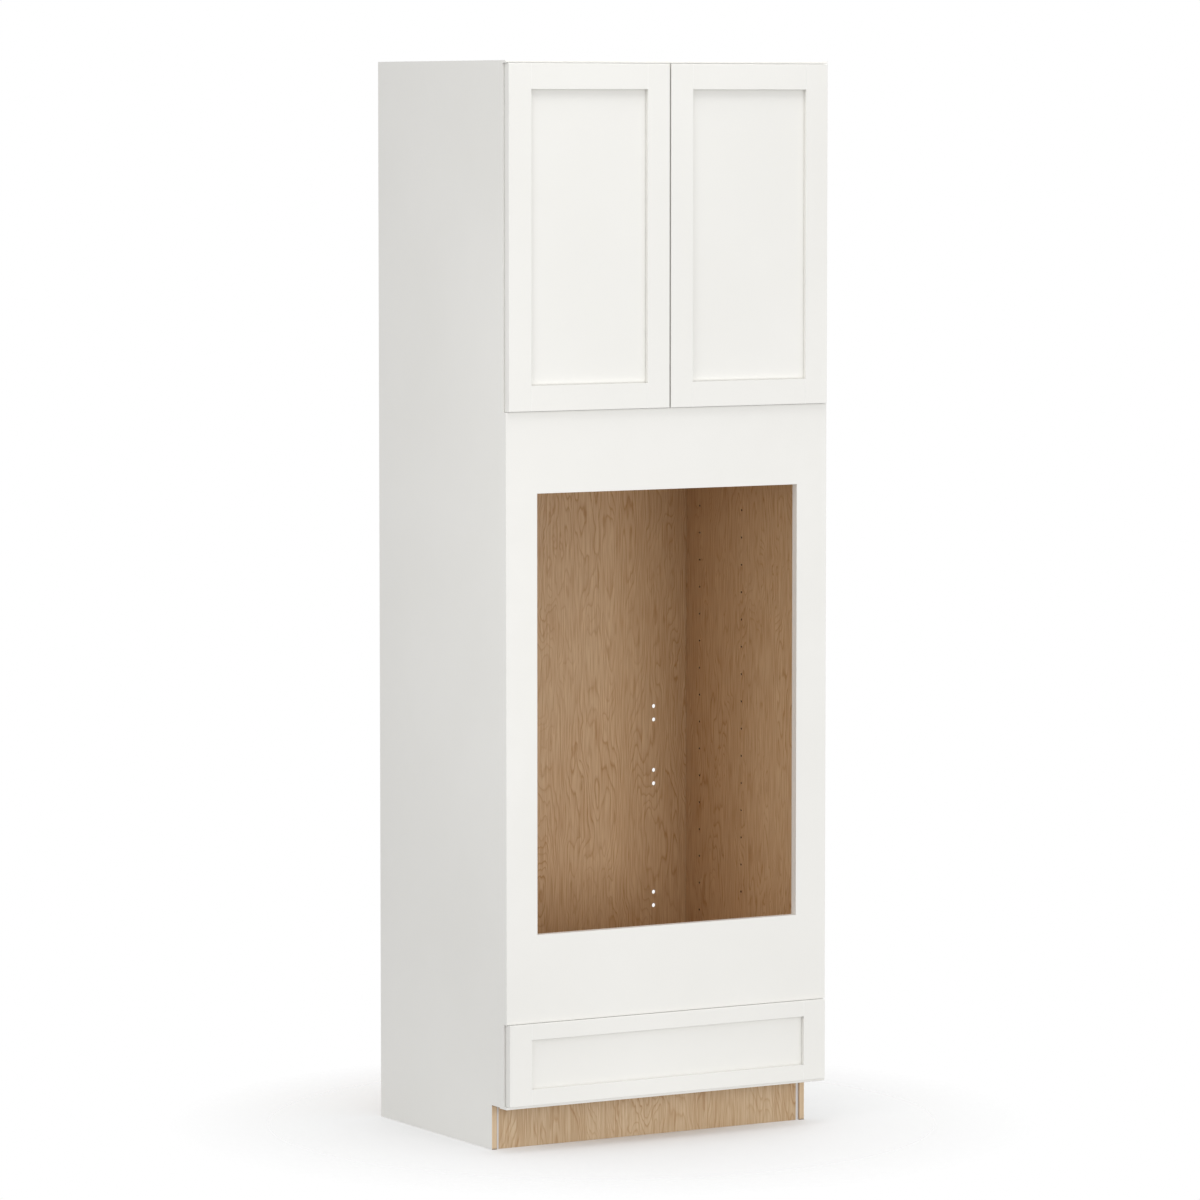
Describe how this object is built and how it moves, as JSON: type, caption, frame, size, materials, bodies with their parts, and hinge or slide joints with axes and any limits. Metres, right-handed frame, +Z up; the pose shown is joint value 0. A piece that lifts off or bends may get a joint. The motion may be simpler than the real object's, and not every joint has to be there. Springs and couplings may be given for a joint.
{
  "type": "double oven cabinet",
  "caption": "Tall kitchen cabinet with a large oven cut-out, framed cupboard doors above on concealed hinges, a framed drawer below on telescopic slides, and a recessed toe kick.",
  "frame": {"origin": "on the floor, at the middle of the footprint's width and depth with doors and drawer closed", "axes": "+Z up, +X to the right seen from the front, +Y towards the wall; the doors and the drawer face -Y"},
  "size_m": [0.8382, 0.6172, 2.4384],
  "materials": {
    "painted_front": "warm white satin paint on hardwood",
    "side_board": "plywood, warm white satin outside and clear maple inside",
    "maple_ply": "clear coated maple plywood",
    "raw_lumber": "planed bare wood",
    "drawer_maple": "clear coated solid maple",
    "grey_plastic": "pale grey, matte",
    "bumper_rubber": "translucent, soft",
    "zinc_steel": "zinc plated",
    "nickel_hinge": "nickel plated"
  },
  "bodies": {
    "cabinet": {"left_side_panel": "side_board", "right_side_panel": "side_board", "back_panel": "maple_ply", "top_panel": "maple_ply", "cupboard_floor": "maple_ply", "oven_deck": "maple_ply", "oven_deck_cleats": "raw_lumber", "bottom_panel": "maple_ply", "top_hanging_rail": "raw_lumber", "middle_hanging_rail": "raw_lumber", "lower_hanging_rail": "raw_lumber", "left_face_stile": "painted_front", "right_face_stile": "painted_front", "face_top_rail": "painted_front", "face_upper_rail": "painted_front", "face_lower_rail": "painted_front", "face_bottom_rail": "painted_front", "oven_face_panel": "painted_front", "toe_kick_board": "maple_ply", "toe_kick_end_strips": "grey_plastic", "toe_kick_blocks": "raw_lumber", "cupboard_shelf": "maple_ply", "shelf_pins": "zinc_steel", "left_hinge_arms": "nickel_hinge", "right_hinge_arms": "nickel_hinge", "hinge_arm_pins": "nickel_hinge", "hinge_arm_screws": "zinc_steel", "slide_cabinet_rails": "zinc_steel", "slide_rear_brackets": "zinc_steel"},
    "left_hinge": {"left_hinge_links": "nickel_hinge"},
    "left_door": {"left_door_outer_stile": "painted_front", "left_door_inner_stile": "painted_front", "left_door_bottom_rail": "painted_front", "left_door_top_rail": "painted_front", "left_door_panel": "painted_front", "left_door_bumpers": "bumper_rubber", "left_hinge_cups": "nickel_hinge", "left_hinge_cup_pins": "nickel_hinge"},
    "right_hinge": {"right_hinge_links": "nickel_hinge"},
    "right_door": {"right_door_outer_stile": "painted_front", "right_door_inner_stile": "painted_front", "right_door_bottom_rail": "painted_front", "right_door_top_rail": "painted_front", "right_door_panel": "painted_front", "right_door_bumpers": "bumper_rubber", "right_hinge_cups": "nickel_hinge", "right_hinge_cup_pins": "nickel_hinge"},
    "slide_middle": {"slide_middle_rails": "zinc_steel"},
    "drawer": {"drawer_front_left_stile": "painted_front", "drawer_front_right_stile": "painted_front", "drawer_front_bottom_rail": "painted_front", "drawer_front_top_rail": "painted_front", "drawer_front_panel": "painted_front", "drawer_box_front": "drawer_maple", "drawer_box_left_side": "drawer_maple", "drawer_box_right_side": "drawer_maple", "drawer_box_back": "drawer_maple", "drawer_box_bottom": "drawer_maple", "drawer_front_screws": "zinc_steel", "slide_drawer_rails": "zinc_steel"}
  },
  "joints": [
    {"name": "left_door_swing", "type": "hinge", "parent": "left_hinge", "child": "left_door", "pos_m": [-0.4047, -0.29633, 2.0479], "axis": [0, 0, -1], "range_deg": [0, 124]},
    {"name": "left_hinge_link_turn", "type": "hinge", "parent": "cabinet", "child": "left_hinge", "pos_m": [-0.367, -0.28013, 2.0479], "axis": [0, 0, -1], "range_deg": [-19, 0]},
    {"name": "right_door_swing", "type": "hinge", "parent": "right_hinge", "child": "right_door", "pos_m": [0.4047, -0.29633, 2.0479], "axis": [0, 0, 1], "range_deg": [0, 124]},
    {"name": "right_hinge_link_turn", "type": "hinge", "parent": "cabinet", "child": "right_hinge", "pos_m": [0.367, -0.28013, 2.0479], "axis": [0, 0, 1], "range_deg": [-19, 0]},
    {"name": "drawer_slide", "type": "slide", "parent": "cabinet", "child": "drawer", "axis": [0, -1, 0], "range_m": [0, 0.508]},
    {"name": "slide_middle_travel", "type": "slide", "parent": "cabinet", "child": "slide_middle", "axis": [0, -1, 0], "range_m": [0, 0.254]}
  ],
  "couplings": [
    {"joint": "left_hinge_link_turn", "follows": "left_door_swing", "ratio": -0.15254},
    {"joint": "right_hinge_link_turn", "follows": "right_door_swing", "ratio": -0.15254},
    {"joint": "slide_middle_travel", "follows": "drawer_slide", "ratio": 0.5}
  ]
}
